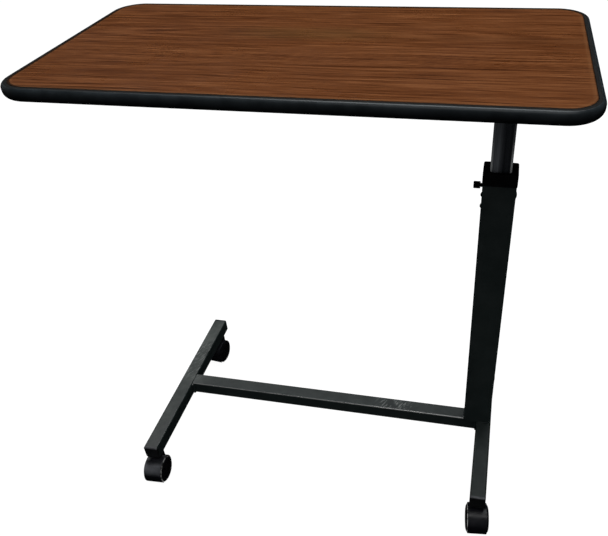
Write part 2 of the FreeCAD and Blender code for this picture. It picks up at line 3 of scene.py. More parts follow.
import json
import math

import bpy
import bmesh
from mathutils import Matrix, Vector


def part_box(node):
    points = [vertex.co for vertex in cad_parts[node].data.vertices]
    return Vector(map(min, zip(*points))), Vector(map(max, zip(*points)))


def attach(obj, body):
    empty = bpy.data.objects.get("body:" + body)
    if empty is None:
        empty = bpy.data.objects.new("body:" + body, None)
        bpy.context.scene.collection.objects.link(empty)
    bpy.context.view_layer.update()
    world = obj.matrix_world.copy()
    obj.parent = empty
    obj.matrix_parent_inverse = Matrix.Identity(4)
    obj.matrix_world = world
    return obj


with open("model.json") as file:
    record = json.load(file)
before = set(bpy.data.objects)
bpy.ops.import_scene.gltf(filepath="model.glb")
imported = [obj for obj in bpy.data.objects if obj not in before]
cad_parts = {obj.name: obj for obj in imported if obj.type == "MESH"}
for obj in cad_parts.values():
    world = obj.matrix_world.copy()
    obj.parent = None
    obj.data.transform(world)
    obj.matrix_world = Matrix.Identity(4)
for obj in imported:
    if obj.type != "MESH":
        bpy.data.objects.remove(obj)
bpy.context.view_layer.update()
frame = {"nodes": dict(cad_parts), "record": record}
NODES = frame["nodes"]


def middle(node):
    low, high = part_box(node)
    return (low + high) / 2


TOP_LOW, TOP_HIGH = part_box("walnut_laminate")
TOP_CENTRE = Vector(((TOP_LOW.x + TOP_HIGH.x) / 2, (TOP_LOW.y + TOP_HIGH.y) / 2, TOP_HIGH.z))
TOP_CORNER_RADIUS = 0.0361
BAND_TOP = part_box("edge_band")[1].z
COLLAR_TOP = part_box("column_collar")[1].z
BAR_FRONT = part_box("base_bar")[0].y
COLUMN = middle("outer_column")
MAST = middle("inner_mast")
LEFT_LEG = middle("left_cross_leg")

# Looks that differ from castor to castor change over between these places.
LEFT_X, RIGHT_X = -0.20, 0.20
FRONT_Y, REAR_Y = -0.10, 0.10


# Shader graph helper --------------------------------------------------------------------------

class Shader:
    """A material whose nodes are wired as they are added."""

    def __init__(self, name, **values):
        self.material = bpy.data.materials.new(name)
        self.material.use_nodes = True
        self.tree = self.material.node_tree
        self.surface = self.tree.nodes["Principled BSDF"]
        self.set(**values)
        self.place = self.add("TexCoord").outputs["Object"]

    def feed(self, socket, value):
        if isinstance(value, bpy.types.NodeSocket):
            self.tree.links.new(value, socket)
        elif value is not None:
            socket.default_value = value

    def add(self, kind, *inputs, **settings):
        node = self.tree.nodes.new("ShaderNode" + kind)
        for key, value in settings.items():
            setattr(node, key, value)
        for socket, value in zip(node.inputs, inputs):
            self.feed(socket, value)
        return node

    def set(self, **values):
        """Values or links for the surface, with _ for a space in a socket's name."""
        for socket, value in values.items():
            self.feed(self.surface.inputs[socket.replace("_", " ")], value)
        return self

    def calc(self, operation, a, b=None, c=None):
        return self.add("Math", a, b, c, operation=operation).outputs[0]

    def times(self, product, *factors):
        for factor in factors:
            product = self.calc("MULTIPLY", product, factor)
        return product

    def vary(self, value, noise, amount):
        """The value moved up and down by a noise, which is centred on one half."""
        return self.calc("MULTIPLY_ADD", self.calc("SUBTRACT", noise, 0.5), amount, value)

    def vector(self, operation, a, b=None):
        return self.add("VectorMath", a, b, operation=operation).outputs[0]

    def length(self, vector):
        return self.add("VectorMath", vector, operation="LENGTH").outputs["Value"]

    def split(self, vector):
        return self.add("SeparateXYZ", vector).outputs

    def join(self, x, y, z):
        return self.add("CombineXYZ", x, y, z).outputs[0]

    def facing(self):
        """Components of the surface normal, fixed to the mesh."""
        return self.split(self.add("TexCoord").outputs["Normal"])

    def stretch(self, vector, scale, turn=0.0, shift=(0.0, 0.0, 0.0)):
        """The vector scaled, turned about Z and shifted, in that order."""
        return self.add("Mapping", vector, shift, (0.0, 0.0, turn), scale).outputs[0]

    def noise(self, vector, scale=1.0, detail=4.0, roughness=0.55):
        node = self.add("TexNoise")
        for key, value in (("Vector", vector), ("Scale", scale), ("Detail", detail),
                           ("Roughness", roughness)):
            self.feed(node.inputs[key], value)
        return node.outputs["Fac"]

    def grain(self, vector, per_x, per_y, detail=2.0, roughness=0.55, shift=(0.0, 0.0, 0.0)):
        """Noise drawn out flat on the worktop: so many features per metre along X and Y."""
        drawn_out = self.stretch(vector, (per_x, per_y, 1.0), shift=shift)
        return self.noise(drawn_out, detail=detail, roughness=roughness)

    def cells(self, vector, scale):
        node = self.add("TexVoronoi")
        self.feed(node.inputs["Vector"], vector)
        self.feed(node.inputs["Scale"], scale)
        return node.outputs["Distance"]

    def fit(self, value, low, high, to_low=0.0, to_high=1.0):
        """Smooth step: to_low where the value is at low or beyond it, to_high at high or beyond."""
        node = self.add("MapRange", value, low, high, to_low, to_high,
                        interpolation_type="SMOOTHSTEP")
        return node.outputs[0]

    def near(self, value, centre, far, close):
        """One where the value is close to the centre, falling to nothing at the far distance."""
        away = self.calc("ABSOLUTE", self.calc("SUBTRACT", value, centre))
        return self.fit(away, far, close)

    def mix(self, factor, a, b):
        node = self.add("Mix", data_type="RGBA", blend_type="MIX")
        self.feed(node.inputs[0], factor)
        self.feed(node.inputs[6], a)
        self.feed(node.inputs[7], b)
        return node.outputs[2]

    def ramp(self, value, *stops):
        node = self.add("ValToRGB", value)
        elements = node.color_ramp.elements
        elements[0].position, elements[0].color = stops[0]
        elements[1].position, elements[1].color = stops[-1]
        for position, colour in stops[1:-1]:
            elements.new(position).color = colour
        return node.outputs[0]

    def bump(self, height, distance, strength=1.0, under=None):
        node = self.add("Bump")
        for key, value in (("Height", height), ("Distance", distance), ("Strength", strength),
                           ("Normal", under)):
            self.feed(node.inputs[key], value)
        return node.outputs[0]


def rgb(red, green, blue):
    return (red, green, blue, 1.0)


def shades(base, darkest, lightest):
    """The base colour at two brightnesses."""
    return rgb(*(c * darkest for c in base)), rgb(*(c * lightest for c in base))


# Laminate -------------------------------------------------------------------------------------

WALNUT = ((0.20, rgb(0.044, 0.0118, 0.0028)), (0.42, rgb(0.090, 0.0272, 0.0077)),
          (0.58, rgb(0.127, 0.0412, 0.0128)), (0.84, rgb(0.192, 0.0715, 0.0255)))
WALNUT_MIDTONE = 0.53
OLIVE_WALNUT = rgb(0.078, 0.0420, 0.0130)
SHADED_WALNUT = rgb(0.070, 0.0240, 0.0080)
RIM_LIGHTER_WALNUT = rgb(0.200, 0.088, 0.034)
PORE = rgb(0.035, 0.012, 0.0045)
# Painted shade for the groove along the laminate's rim and for its bevelled edge.
RIM_GROOVE_SHADOW = rgb(0.0110, 0.0046, 0.0020)
BEVEL_SHADE = rgb(0.006, 0.0042, 0.0034)

# Places on the worktop, from its centre.
FLAME_X, FLAME_Y = -0.09, 0.042
FLAME_STRETCH = 10.0
FLAME_PITCH = 0.0115
FLECK_Y = -0.047
FLECK_SLOPE = -0.45
OLIVE_X, OLIVE_Y = -0.01, 0.048
SHADE_Y = 0.038


def rim_distance(s, place):
    """Distance outwards from the laminate's rounded outline, negative on the laminate."""
    half = (TOP_HIGH - TOP_LOW) / 2
    straight = (half.x - TOP_CORNER_RADIUS, half.y - TOP_CORNER_RADIUS, 1.0)
    reach = s.vector("SUBTRACT", s.vector("ABSOLUTE", place), straight)
    outer = s.length(s.vector("MAXIMUM", reach, (0.0, 0.0, 0.0)))
    reach_x, reach_y, _ = s.split(reach)
    inner = s.calc("MINIMUM", s.calc("MAXIMUM", reach_x, reach_y), 0.0)
    return s.calc("SUBTRACT", s.calc("ADD", outer, inner), TOP_CORNER_RADIUS)


def flame_rings(s, x, y, sway):
    """Long rings round one point, drawn out along the grain, strongest on its axis."""
    flame_x = s.calc("DIVIDE", s.calc("SUBTRACT", x, FLAME_X), FLAME_STRETCH)
    flame_y = s.calc("SUBTRACT", y, FLAME_Y)
    radius = s.calc("SQRT", s.calc("ADD", s.times(flame_x, flame_x), s.times(flame_y, flame_y)))
    uneven = s.calc("ADD", radius, s.times(sway, 0.006))
    rings = s.calc("SINE", s.times(uneven, 2 * math.pi / FLAME_PITCH))
    return s.times(rings, s.near(y, FLAME_Y, far=0.050, close=0.010))


def walnut_laminate():
    """Printed walnut: streaks and bands along X, one flame, sloping flecks and pore dashes."""
    s = Shader("walnut_laminate", Specular_IOR_Level=0.10)
    centre = s.vector("SUBTRACT", s.place, TOP_CENTRE)
    x, y, _ = s.split(centre)
    drift = s.grain(centre, 2.2, 9.0)
    sway = s.grain(centre, 6.0, 26.0)
    bent_y = s.vary(s.vary(y, drift, 0.016), sway, 0.007)
    bent = s.join(x, bent_y, 0.0)

    streaks = s.grain(bent, 2.4, 165.0, detail=6.0, roughness=0.76)
    threads = s.grain(bent, 14.0, 480.0, detail=3.0, roughness=0.6)
    bands = s.grain(bent, 1.3, 22.0)
    lines = s.grain(bent, 3.0, 260.0, shift=(4.0, 2.0, 0.0))
    tone = s.vary(WALNUT_MIDTONE, streaks, 1.75)
    tone = s.vary(tone, threads, 1.30)
    tone = s.vary(tone, bands, 0.22)
    tone = s.calc("SUBTRACT", tone, s.fit(lines, 0.56, 0.66, 0.0, 0.20))
    tone = s.calc("MULTIPLY_ADD", flame_rings(s, x, bent_y, sway), 0.085, tone)
    sloping = s.stretch(centre, (1.0, 1.0, 1.0), turn=FLECK_SLOPE)
    flecks = s.grain(sloping, 60.0, 300.0)
    tone = s.vary(tone, flecks, s.times(s.near(y, FLECK_Y, far=0.034, close=0.012), 0.60))

    wood = s.ramp(tone, *WALNUT)
    olive = s.times(s.near(x, OLIVE_X, far=0.16, close=0.03),
                    s.near(y, OLIVE_Y, far=0.040, close=0.006))
    wood = s.mix(s.times(olive, 0.34), wood, OLIVE_WALNUT)
    shade = s.times(s.fit(x, 0.02, 0.22), s.near(bent_y, SHADE_Y, far=0.020, close=0.004))
    wood = s.mix(s.times(shade, 0.30), wood, SHADED_WALNUT)
    pores = s.fit(s.grain(bent, 34.0, 900.0), 0.60, 0.74)
    wood = s.mix(s.times(pores, 0.45), wood, PORE)

    rim = rim_distance(s, s.vector("MULTIPLY", centre, (1.0, 1.0, 0.0)))
    # Lighter a few millimetres in from the rim, following the streaks.
    lighter_strip = s.times(s.fit(rim, -0.0080, -0.0040), s.fit(streaks, 0.30, 0.62, 0.35, 1.0))
    wood = s.mix(s.times(lighter_strip, 0.30), wood, RIM_LIGHTER_WALNUT)
    # Painted shadow of the groove between laminate and edge band: a dark line just inside the rim,
    # wider at the left and back.
    left_or_back = s.calc("MAXIMUM", s.fit(x, -0.33, -0.35), s.fit(y, 0.15, 0.17))
    groove_shadow = s.calc("MULTIPLY_ADD", left_or_back, 0.0024, rim)
    wood = s.mix(s.fit(groove_shadow, -0.0026, -0.0006, 0.0, 0.92), wood, RIM_GROOVE_SHADOW)
    # Painted shade: the laminate's bevelled edge darkened to match the groove beside it.
    wood = s.mix(s.fit(s.facing()[2], 0.985, 0.93), wood, BEVEL_SHADE)

    smudge = s.grain(centre, 7.0, 10.0, detail=3.0)
    rough = s.calc("MULTIPLY_ADD", pores, 0.15, s.fit(smudge, 0.35, 0.70, 0.27, 0.34))
    relief = s.calc("SUBTRACT", s.times(threads, 0.4), pores)
    return s.set(Base_Color=wood, Roughness=rough, Normal=s.bump(relief, 0.00004)).material


# Edge band ------------------------------------------------------------------------------------

VINYL_DARK = rgb(0.0014, 0.0020, 0.0025)
VINYL_LIGHT = rgb(0.0030, 0.0040, 0.0050)
VINYL_PAINTED_SHEEN = rgb(0.042, 0.053, 0.060)
VINYL_LIP_SHADE = rgb(0.0030, 0.0024, 0.0020)


def edge_band():
    """Extruded vinyl: black, with a painted sheen towards its top and painted shade on the flat lip
    beside the laminate.
    """
    s = Shader("edge_band", Specular_IOR_Level=0.25)
    height = s.split(s.place)[2]
    lines = s.noise(s.join(0.0, 0.0, s.times(height, 2600.0)), detail=2.0)
    mottle = s.noise(s.place, scale=38.0, detail=3.0)
    ripple = s.noise(s.place, scale=16.0, detail=1.0)
    nx, ny, nz = s.facing()
    lip = s.fit(nz, 0.930, 0.985)
    left_or_back = s.fit(s.calc("MAXIMUM", ny, s.times(nx, -1.0)), 0.05, 0.30)
    # Painted sheen: lighter and bluish towards the top of the band.
    painted_sheen = s.calc("POWER", s.fit(height, BAND_TOP - 0.021, BAND_TOP - 0.001), 3.0)
    painted_sheen = s.times(painted_sheen, s.fit(mottle, 0.30, 0.70, 0.7, 1.2))
    colour = s.ramp(mottle, (0.35, VINYL_DARK), (0.70, VINYL_LIGHT))
    colour = s.mix(s.times(painted_sheen, 0.34), colour, VINYL_PAINTED_SHEEN)
    # Painted shade on the flat lip: the dark line of the groove beside the laminate.
    colour = s.mix(lip, colour, VINYL_LIP_SHADE)
    dull = s.calc("MAXIMUM", lip, left_or_back)
    rough = s.calc("MULTIPLY_ADD", dull, 0.50, s.fit(mottle, 0.3, 0.7, 0.30, 0.38))
    relief = s.bump(lines, 0.00003, 0.5, under=s.bump(ripple, 0.0006, 0.5))
    return s.set(Base_Color=colour, Roughness=rough, Normal=relief).material


# Powder-coated base and column ----------------------------------------------------------------

FRAME_BLACK = (0.0105, 0.0162, 0.0156)
FRAME_DUST_AND_SHEEN = rgb(0.175, 0.185, 0.170)
SCUFF = rgb(0.20, 0.21, 0.20)
BAR_EDGE_GLINT = rgb(0.700, 0.705, 0.690)
SCUFFED_SPOTS = ((LEFT_LEG + Vector((0.0, 0.060, 0.0)), 0.075),
                 (COLUMN + Vector((-0.165, 0.0, 0.0)), 0.045))


def dust_and_sheen_film(s, x, y):
    """Dust with a painted sheen on the base: most on the left leg and at the back, least beside the
    column.
    """
    cloud = s.noise(s.place, scale=13.0, roughness=0.6)
    wipes = s.noise(s.place, scale=60.0, roughness=0.7)
    return s.times(s.fit(cloud, 0.32, 0.66, 0.45, 1.15), s.fit(wipes, 0.28, 0.72, 0.65, 1.1),
                   s.fit(x, LEFT_LEG.x + 0.06, LEFT_LEG.x + 0.01, 0.42, 1.26),
                   s.fit(y, -0.20, 0.16, 0.72, 1.08),
                   s.fit(x, LEFT_LEG.x + 0.15, COLUMN.x - 0.10, 1.0, 0.55))


def scuffed(s, colour, up):
    """The colour with slanted scuffs on two spots and faint lengthwise marks in patches."""
    swirl = s.noise(s.place, scale=14.0, detail=1.0)
    wander = s.vector("MULTIPLY", s.join(swirl, swirl, swirl), (0.02, 0.02, 0.02))
    bent = s.vector("ADD", s.place, wander)
    slanted = s.stretch(bent, (1.0, 1.0, 1.0), turn=0.5)
    scuffs = s.fit(s.noise(s.stretch(slanted, (420.0, 70.0, 70.0)), detail=2.0), 0.52, 0.66)
    for spot, reach in SCUFFED_SPOTS:
        away = s.vector("MULTIPLY", s.vector("SUBTRACT", s.place, spot), (1.0, 1.0, 0.0))
        spotted = s.fit(s.length(away), reach, reach * 0.5)
        colour = s.mix(s.times(spotted, up, scuffs, 0.75), colour, SCUFF)
    along_y = s.noise(s.stretch(bent, (420.0, 26.0, 420.0)), detail=2.0)
    along_x = s.noise(s.stretch(bent, (26.0, 420.0, 420.0), shift=(2.0, 5.0, 1.0)), detail=2.0)
    marks = s.fit(s.calc("MAXIMUM", along_x, along_y), 0.66, 0.76)
    patch = s.fit(s.noise(s.place, scale=11.0, detail=1.0), 0.52, 0.66)
    return s.mix(s.times(marks, patch, 0.16), colour, SCUFF)


def bar_edge_glint(s, y, ny, nz):
    """Where a highlight is painted along the base bar's upper front edge, as bright bare steel."""
    glint_dashes = s.noise(s.stretch(s.place, (22.0, 6.0, 6.0)), roughness=0.7)
    return s.times(s.fit(s.times(ny, -1.0), 0.35, 0.55), s.fit(nz, 0.42, 0.62),
                   s.near(y, BAR_FRONT, far=0.0045, close=0.0036),
                   s.fit(glint_dashes, 0.30, 0.62, 0.45, 1.0))


def powder_coat():
    """Black powder coat: orange peel, dust with a painted sheen on upward faces, scuffs and a
    painted highlight along one edge.
    """
    s = Shader("frame_steel", Specular_IOR_Level=0.45)
    x, y, _ = s.split(s.place)
    nx, ny, nz = s.facing()
    up = s.fit(nz, 0.70, 0.99)
    mottle = s.noise(s.place, scale=26.0, detail=5.0, roughness=0.6)
    dark, light = shades(FRAME_BLACK, 0.80, 1.25)
    colour = s.ramp(mottle, (0.30, dark), (0.72, light))
    # Dust on upward faces, partly a painted sheen that lightens the left leg most.
    colour = s.mix(s.times(up, dust_and_sheen_film(s, x, y), 0.31), colour, FRAME_DUST_AND_SHEEN)
    colour = scuffed(s, colour, up)
    # Painted highlight: a broken bright metallic line along the bar's upper front edge.
    painted_glint = bar_edge_glint(s, y, ny, nz)
    colour = s.mix(s.times(painted_glint, 0.95), colour, BAR_EDGE_GLINT)
    side = s.calc("MAXIMUM", s.calc("ABSOLUTE", nx), s.calc("ABSOLUTE", ny))
    corner = s.fit(s.calc("MAXIMUM", side, s.calc("ABSOLUTE", nz)), 0.995, 0.93)
    rough = s.calc("SUBTRACT", s.fit(mottle, 0.3, 0.7, 0.34, 0.46), s.times(corner, 0.16))
    peel = s.noise(s.place, scale=900.0, detail=2.0)
    return s.set(Base_Color=colour, Metallic=s.times(painted_glint, 0.85), Roughness=rough,
                 Normal=s.bump(peel, 0.00005, 0.6)).material


# Mast -----------------------------------------------------------------------------------------

MAST_DARK = rgb(0.0075, 0.0090, 0.0105)
MAST_LIGHT = rgb(0.0150, 0.0165, 0.0190)
MAST_PAINTED_REFLECTION = rgb(0.105, 0.112, 0.122)
MAST_CORNER_GLINT = rgb(0.400, 0.410, 0.400)


def mast_steel():
    """Semi-gloss black, with a painted reflection on the left of its faces and painted glints on
    its corners near the collar.
    """
    s = Shader("mast_steel", Specular_IOR_Level=0.45)
    drawn = s.noise(s.stretch(s.place, (900.0, 900.0, 3.0)), detail=3.0)
    wipes = s.noise(s.stretch(s.place, (190.0, 190.0, 5.0)), detail=2.0)
    scratches = s.noise(s.stretch(s.place, (700.0, 700.0, 7.0)), detail=3.0)
    streaks = s.fit(scratches, 0.30, 0.66, 0.45, 1.0)
    x, _, z = s.split(s.place)
    nx, ny, _ = s.facing()
    colour = s.ramp(wipes, (0.35, MAST_DARK), (0.70, MAST_LIGHT))
    # Painted reflection: a lighter streaked strip left of the mast's axis, strongest near the
    # collar.
    off_axis = s.vary(s.calc("SUBTRACT", x, MAST.x), wipes, 0.006)
    near_collar = s.fit(z, COLLAR_TOP + 0.090, COLLAR_TOP, 0.55, 1.30)
    lighter_strip = s.times(s.fit(off_axis, 0.0020, -0.0075), near_collar, streaks)
    colour = s.mix(s.times(lighter_strip, 0.70), colour, MAST_PAINTED_REFLECTION)
    # Painted glints on the rounded corners near the collar.
    corner = s.times(s.fit(s.calc("ABSOLUTE", nx), 0.30, 0.62),
                     s.fit(s.calc("ABSOLUTE", ny), 0.10, 0.40),
                     s.fit(z, COLLAR_TOP + 0.060, COLLAR_TOP, 0.10, 0.90))
    colour = s.mix(s.times(corner, streaks), colour, MAST_CORNER_GLINT)
    rough = s.fit(drawn, 0.3, 0.7, 0.18, 0.26)
    relief = s.bump(drawn, 0.00002, 0.5)
    return s.set(Base_Color=colour, Roughness=rough, Normal=relief).material


# Plastics -------------------------------------------------------------------------------------

COLLAR_BLACK = (0.0018, 0.0019, 0.0020)
CAP_BLACK = (0.0060, 0.0068, 0.0072)
NYLON_BLACK = (0.0060, 0.0060, 0.0062)
CASTOR_BLACK = (0.0036, 0.0038, 0.0064)
PLASTIC_DUST_AND_SHEEN = rgb(0.150, 0.155, 0.170)
WHEEL_BLACK = rgb(0.0036, 0.0036, 0.0048)
WHEEL_DUST = rgb(0.11, 0.11, 0.105)
# Colour of the painted glint on the wheels' rims.
WHEEL_RIM_GLINT = rgb(0.620, 0.620, 0.600)
GLINT_RIM_FROM, GLINT_RIM_TO = 0.0233, 0.0240


def moulded_plastic(name, base, rough, gloss=0.45, dust=0.0, left_dust_and_sheen=1.0, crown=1.0):
    """Moulded plastic: fine grain, faint mottling, and dust with a painted sheen on upward faces.

    left_dust_and_sheen is how much of it lies at the left of the base, against the right, and
    crown how much of it lies on level faces, against sloping ones."""
    s = Shader(name, Specular_IOR_Level=gloss)
    mottle = s.noise(s.place, scale=60.0)
    dark, light = shades(base, 0.75, 1.3)
    colour = s.ramp(mottle, (0.3, dark), (0.75, light))
    if dust:
        nz = s.facing()[2]
        x, y, _ = s.split(s.place)
        up = s.times(s.fit(nz, 0.2, 0.8), s.fit(nz, 0.86, 0.99, 1.0, crown))
        # Dust and painted light on upward faces, in amounts set per material.
        sheen_and_dust_mask = s.times(up, s.fit(x, LEFT_X, RIGHT_X, left_dust_and_sheen, 1.0),
                          s.fit(y, REAR_Y, FRONT_Y, 0.10, 1.0))
        colour = s.mix(s.times(sheen_and_dust_mask, mottle, dust), colour, PLASTIC_DUST_AND_SHEEN)
    speckle = s.noise(s.place, scale=1400.0, detail=2.0)
    roughness = s.fit(mottle, 0.3, 0.7, rough - 0.05, rough + 0.07)
    relief = s.bump(speckle, 0.00004, 0.6)
    return s.set(Base_Color=colour, Roughness=roughness, Normal=relief).material


def axle_distance(s, castor):
    """Distance of each point from the axle of one castor."""
    left = middle(castor + "_castor_wheel_left")
    right = middle(castor + "_castor_wheel_right")
    arm = s.vector("SUBTRACT", s.place, (left + right) / 2)
    return s.length(s.vector("CROSS_PRODUCT", arm, (right - left).normalized()))


def wheel_plastic():
    """Hard wheel: glossy sides, a dusty tread, and a painted glint on the rims of the front
    castors.
    """
    s = Shader("wheel_plastic", Specular_IOR_Level=0.45)
    mottle = s.noise(s.place, scale=90.0, detail=5.0)
    x, y, _ = s.split(s.place)
    nx = s.facing()[0]
    side = s.calc("ABSOLUTE", nx)
    tread = s.fit(side, 0.60, 0.35)
    dust = s.times(tread, s.fit(mottle, 0.35, 0.70), 0.12)
    colour = s.mix(dust, WHEEL_BLACK, WHEEL_DUST)

    # Painted glint: a thin broken bright line on the wheels' inward-facing rims, mostly on the
    # front castors.
    off_left, off_right = axle_distance(s, "front_left"), axle_distance(s, "front_right")
    at_right = s.calc("GREATER_THAN", x, 0.0)
    radius = s.calc("MULTIPLY_ADD", at_right, s.calc("SUBTRACT", off_right, off_left), off_left)
    rim_glint_dashes = s.fit(s.noise(s.place, scale=190.0, detail=3.0), 0.42, 0.54, 0.12, 1.0)
    inward = s.fit(s.times(nx, s.calc("SIGN", x)), 0.0, -0.3)
    painted_glint = s.times(s.fit(radius, GLINT_RIM_FROM, GLINT_RIM_TO), s.fit(side, 0.45, 0.62), rim_glint_dashes,
                   s.fit(y, REAR_Y, FRONT_Y), s.fit(x, LEFT_X, RIGHT_X, 0.55, 1.0), inward)
    colour = s.mix(painted_glint, colour, WHEEL_RIM_GLINT)
    rough = s.calc("ADD", s.fit(mottle, 0.3, 0.7, 0.22, 0.32), s.times(tread, 0.22))
    relief = s.bump(mottle, 0.00008, 0.4)
    return s.set(Base_Color=colour, Roughness=rough, Normal=relief).material


# Hidden parts ---------------------------------------------------------------------------------

ZINC_DARK = rgb(0.42, 0.43, 0.44)
ZINC_LIGHT = rgb(0.66, 0.66, 0.64)
BLACKING_DARK = rgb(0.010, 0.010, 0.011)
BLACKING_LIGHT = rgb(0.028, 0.028, 0.030)
FLAKE_DARK = rgb(0.20, 0.12, 0.065)
FLAKE_PALE = rgb(0.50, 0.36, 0.22)
FLAKE_TINT = rgb(0.62, 0.48, 0.32)
BACKING_DARK = rgb(0.022, 0.0150, 0.0110)
BACKING_LIGHT = rgb(0.048, 0.0340, 0.0250)
BACKING_STAIN = rgb(0.060, 0.046, 0.036)


def plated_steel(name, dark, light, rough):
    """Plated fastener: cloudy metal with a fine spangle in its gloss."""
    s = Shader(name, Metallic=1.0)
    spangle = s.cells(s.place, 900.0)
    cloud = s.noise(s.place, scale=240.0)
    colour = s.mix(cloud, dark, light)
    roughness = s.calc("ADD", s.times(spangle, 0.12), rough)
    relief = s.bump(cloud, 0.00004, 0.4)
    return s.set(Base_Color=colour, Roughness=roughness, Normal=relief).material


def board_core():
    """Particle board: packed flakes of pale wood."""
    s = Shader("board_core", Roughness=0.85)
    flakes = s.cells(s.stretch(s.place, (420.0, 420.0, 700.0)), 1.0)
    tint = s.noise(s.place, scale=300.0, detail=3.0)
    colour = s.ramp(flakes, (0.05, FLAKE_DARK), (0.75, FLAKE_PALE))
    colour = s.mix(s.times(tint, 0.4), colour, FLAKE_TINT)
    return s.set(Base_Color=colour, Normal=s.bump(flakes, 0.0003)).material


def backing_sheet():
    """Dull brown backing laminate with a faint fibre texture."""
    s = Shader("backing_sheet", Specular_IOR_Level=0.3)
    fibre = s.grain(s.place, 120.0, 420.0, detail=5.0)
    stain = s.noise(s.place, scale=5.0, detail=3.0)
    colour = s.ramp(fibre, (0.30, BACKING_DARK), (0.75, BACKING_LIGHT))
    colour = s.mix(s.fit(stain, 0.45, 0.75, 0.0, 0.35), colour, BACKING_STAIN)
    rough = s.fit(stain, 0.3, 0.7, 0.5, 0.65)
    return s.set(Base_Color=colour, Roughness=rough, Normal=s.bump(fibre, 0.0001)).material


# Materials by slot ----------------------------------------------------------------------------

MATERIALS = {
    "walnut_laminate": walnut_laminate(),
    "edge_band": edge_band(),
    "frame_steel": powder_coat(),
    "mast_steel": mast_steel(),
    "zinc_steel": plated_steel("zinc_steel", ZINC_DARK, ZINC_LIGHT, rough=0.22),
    "black_fasteners": plated_steel("black_fasteners", BLACKING_DARK, BLACKING_LIGHT, rough=0.30),
    "collar_plastic": moulded_plastic("collar_plastic", COLLAR_BLACK, rough=0.55, gloss=0.15),
    # On the caps this mix is dust with a painted sheen.
    "cap_plastic": moulded_plastic("cap_plastic", CAP_BLACK, rough=0.34, dust=0.95,
                                   left_dust_and_sheen=0.6),
    "nylon": moulded_plastic("nylon", NYLON_BLACK, rough=0.34),
    # On the castors this mix is a painted highlight: a band on the hood's sloping front, most on
    # the front left castor, kept off the crown where the leg's shadow falls.
    "castor_plastic": moulded_plastic("castor_plastic", CASTOR_BLACK, rough=0.32, dust=0.15,
                                      left_dust_and_sheen=8.0, crown=0.12),
    "wheel_plastic": wheel_plastic(),
    "board_core": board_core(),
    "backing_sheet": backing_sheet(),
}


def paint_nodes():
    """Give every CAD node the procedural material of its slot."""
    for entry in frame["record"]["subparts"]:
        mesh = NODES[entry["node"]].data
        mesh.materials.clear()
        mesh.materials.append(MATERIALS[entry["material_slot"]])


# Welds ----------------------------------------------------------------------------------------

BEAD_SIDES = 10
BEAD_STEP = 0.0007
RIPPLE_PITCH = 0.0026
RIPPLE_DEPTH = 0.16
TAPER_LENGTH = 0.002
WELD_SINK = 0.0004


def bead_path(corners, step):
    """Points evenly spaced along straight runs between the corners, with the length so far."""
    points = []
    run = 0.0
    for start, end in zip(corners, corners[1:]):
        length = (end - start).length
        count = max(2, round(length / step))
        for k in range(count):
            points.append((start.lerp(end, k / count), run + length * k / count))
        run += length
    points.append((corners[-1], run))
    return points


def bead_radius(radius, run, total):
    """The bead's radius after a length of run: rippled, a little uneven, tapered at both ends."""
    ripple = 1.0 - RIPPLE_DEPTH * abs(math.cos(math.pi * run / RIPPLE_PITCH))
    wander = 1.0 + 0.07 * math.sin(run * 460.0) + 0.05 * math.sin(run * 1130.0)
    taper = min(1.0, 0.35 + min(run, total - run) / TAPER_LENGTH)
    return radius * ripple * wander * taper


def weld_bead(name, corners, radius, body="base", slot="frame_steel"):
    """Weld bead along a path, half sunk in the joint that it fills."""
    path = bead_path([Vector(c) for c in corners], BEAD_STEP)
    total = path[-1][1]
    rings = []
    build = bmesh.new()
    for k, (point, run) in enumerate(path):
        ahead = path[min(k + 1, len(path) - 1)][0]
        behind = path[max(k - 1, 0)][0]
        forward = (ahead - behind).normalized()
        side = forward.orthogonal().normalized()
        upper = forward.cross(side)
        size = bead_radius(radius, run, total)
        ring = []
        for j in range(BEAD_SIDES):
            angle = 2 * math.pi * j / BEAD_SIDES
            spoke = math.cos(angle) * side + math.sin(angle) * upper
            ring.append(build.verts.new(point + size * spoke))
        rings.append(ring)
    for ring, following in zip(rings, rings[1:]):
        for j in range(BEAD_SIDES):
            after = (j + 1) % BEAD_SIDES
            build.faces.new((ring[j], ring[after], following[after], following[j]))
    build.faces.new(list(reversed(rings[0])))
    build.faces.new(rings[-1])
    bmesh.ops.recalc_face_normals(build, faces=build.faces)
    mesh = bpy.data.meshes.new(name)
    build.to_mesh(mesh)
    build.free()
    for polygon in mesh.polygons:
        polygon.use_smooth = True
    mesh.materials.append(MATERIALS[slot])
    piece = bpy.data.objects.new(name, mesh)
    bpy.context.scene.collection.objects.link(piece)
    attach(piece, body)


def bar_welds():
    """Welds up the front and back and under the base bar, where it meets each cross leg."""
    low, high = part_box("base_bar")
    top = high.z - 0.0018
    for side, x in (("left", low.x + WELD_SINK), ("right", high.x - WELD_SINK)):
        corners = [(x, low.y, top), (x, low.y, low.z), (x, high.y, low.z), (x, high.y, top)]
        weld_bead("weld_bar_" + side, corners, radius=0.0024)


def column_welds():
    """Welds round the column's foot plate, on the base bar and the right leg."""
    low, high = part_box("column_foot_plate")
    bar_low, bar_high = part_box("base_bar")
    leg_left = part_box("right_cross_leg")[0].x
    z = low.z + 0.0003
    weld_bead("weld_column_left",
              [(low.x, bar_low.y + 0.001, z), (low.x, bar_high.y - 0.001, z)], radius=0.0019)
    for name, y in (("front", low.y + WELD_SINK), ("rear", high.y - WELD_SINK)):
        weld_bead("weld_column_" + name,
                  [(leg_left + 0.002, y, z), (high.x - 0.003, y, z)], radius=0.0016)
    weld_bead("weld_column_right",
              [(high.x, low.y + 0.004, z), (high.x, high.y - 0.004, z)], radius=0.0013)


